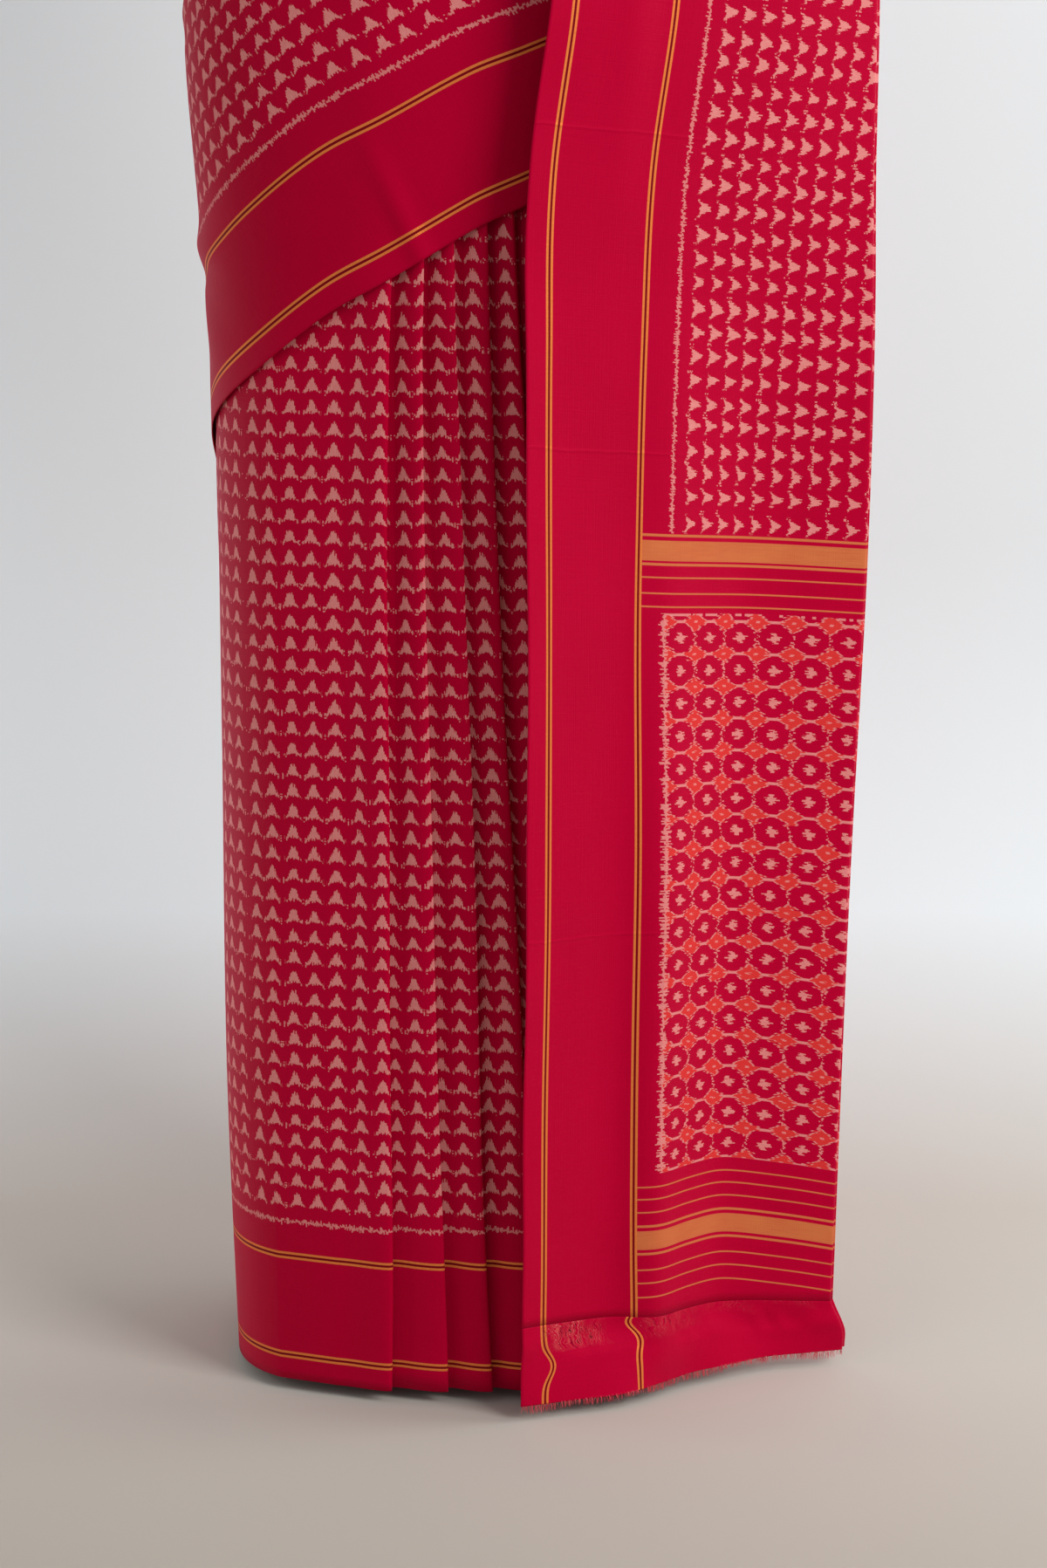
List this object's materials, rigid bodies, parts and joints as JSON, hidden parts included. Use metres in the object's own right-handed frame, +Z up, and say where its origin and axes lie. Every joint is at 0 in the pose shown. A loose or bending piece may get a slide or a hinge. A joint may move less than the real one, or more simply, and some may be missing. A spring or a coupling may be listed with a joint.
{
  "type": "saree",
  "caption": "Silk saree in its worn form, wound round a hollow figure, with knife pleats, a front swath and a folded pallu down the front.",
  "frame": {"origin": "centre of the waist, where the wearer holds the cloth", "axes": "+Z up, -Y to the front, +X to the wearer's left"},
  "size_m": [0.4147, 0.2965, 1.4382],
  "materials": {
    "silk_body": "soft silk sheen, ikat motifs and gold border lines",
    "silk_pallu": "soft silk sheen, ikat end piece with gold bands",
    "silk_end": "plain silk with a loose-warp band and a frayed end"
  },
  "bodies": {
    "root": {"first_wrap": "silk_body", "front_panel": "silk_body", "front_pleats": "silk_body", "second_wrap": "silk_body", "front_swath": "silk_body", "back_drape": "silk_body", "shoulder_drape": "silk_body", "pallu_front": "silk_pallu", "pallu_end": "silk_end", "pallu_fringe": "silk_end"}
  },
  "joints": []
}
